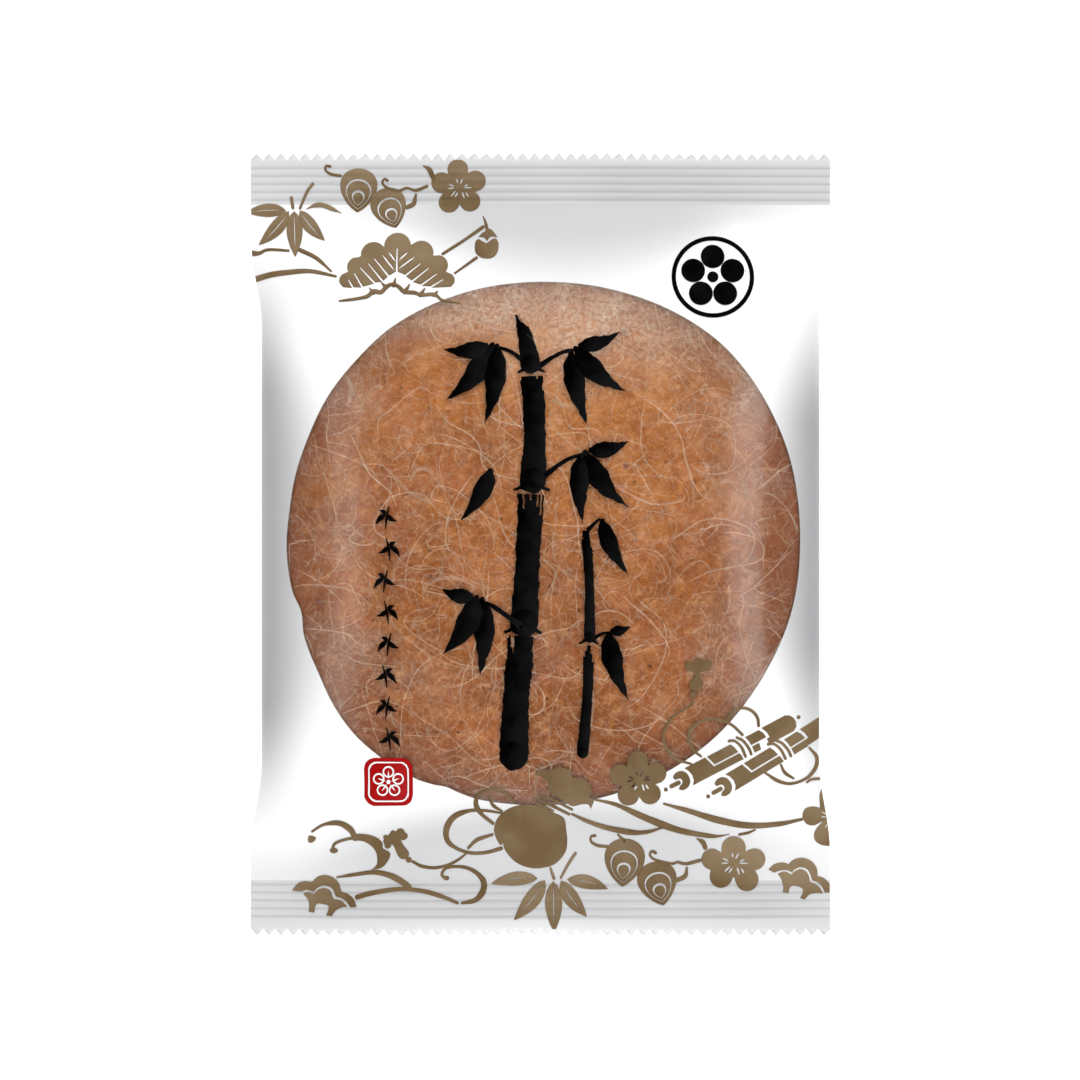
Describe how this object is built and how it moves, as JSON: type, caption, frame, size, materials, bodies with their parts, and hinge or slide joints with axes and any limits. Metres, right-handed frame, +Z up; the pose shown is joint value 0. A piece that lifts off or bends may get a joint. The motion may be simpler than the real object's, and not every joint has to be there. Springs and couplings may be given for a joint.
{
  "type": "wrapped dorayaki",
  "caption": "Dorayaki, a round bean-filled pancake sandwich, sealed in a clear-fronted pillow pack with crimped, toothed ends, lying on its back.",
  "frame": {"origin": "on the surface that the pack lies on, below the middle of the pack's outline", "axes": "+Z up through the printed front, +Y towards the pack's top end, +X towards its right edge as seen from the front"},
  "size_m": [0.1, 0.135, 0.0212],
  "materials": {
    "film": "satin packing film, clear over the cake with white paper-like fibres, white behind it",
    "crust": "browned pancake, fine pores and darker rim",
    "bean_paste": "moist dark bean paste",
    "gold_print": "dull gold printing ink",
    "black_print": "black printing ink",
    "red_print": "red printing ink",
    "white_print": "white printing ink"
  },
  "bodies": {
    "root": {"dorayaki_pack": "film"}
  },
  "joints": []
}
